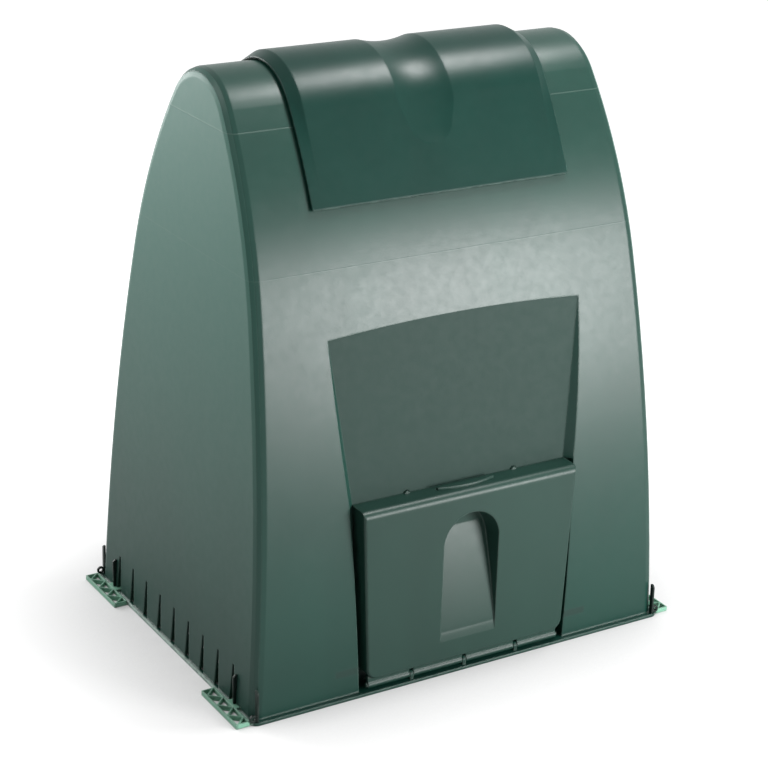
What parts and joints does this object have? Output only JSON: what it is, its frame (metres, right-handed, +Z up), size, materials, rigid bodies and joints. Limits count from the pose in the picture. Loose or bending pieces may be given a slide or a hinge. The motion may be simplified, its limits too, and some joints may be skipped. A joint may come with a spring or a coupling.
{
  "type": "compost bin",
  "caption": "Garden compost bin: an arched one-piece hood on a floor grid, with a hinged lid over the ridge, a hinged emptying door with a hand scoop, and hold-down clips.",
  "frame": {"origin": "on the ground, at the middle of the foot", "axes": "+X to the right, -Y out of the door, +Z up"},
  "size_m": [0.86, 0.604, 1.015],
  "materials": {
    "hood_green": "dark green moulded polyethylene, satin",
    "lid_green": "deep blue-green moulded polyethylene, satin",
    "door_green": "dark green moulded polyethylene, satin",
    "grid_green": "light mint green moulded plastic",
    "clip_green": "near-black green moulded plastic",
    "pin_plastic": "dark green plastic rod"
  },
  "bodies": {
    "body": {"hood": "hood_green", "base_grid": "grid_green", "lid_pin_left": "pin_plastic", "lid_pin_right": "pin_plastic", "door_rod": "pin_plastic", "gable_clip_left_front": "clip_green", "gable_clip_left_back": "clip_green", "gable_clip_right_front": "clip_green", "gable_clip_right_back": "clip_green", "corner_clip_left_front": "clip_green", "corner_clip_left_back": "clip_green", "corner_clip_right_front": "clip_green", "corner_clip_right_back": "clip_green"},
    "lid_body": {"lid": "lid_green"},
    "door_body": {"door": "door_green"},
    "latch_body": {"door_latch": "door_green"}
  },
  "joints": [
    {"name": "lid_hinge", "type": "hinge", "parent": "body", "child": "lid_body", "pos_m": [0, 0.14886, 0.87595], "axis": [-1, 0, 0], "range_deg": [0, 105]},
    {"name": "door_hinge", "type": "hinge", "parent": "body", "child": "door_body", "pos_m": [0, -0.29, 0.013], "axis": [1, 0, 0], "range_deg": [0, 90]},
    {"name": "latch_press", "type": "slide", "parent": "door_body", "child": "latch_body", "axis": [0, 0, -1], "range_m": [0, 0.003], "stiffness_N_per_m": 600}
  ]
}
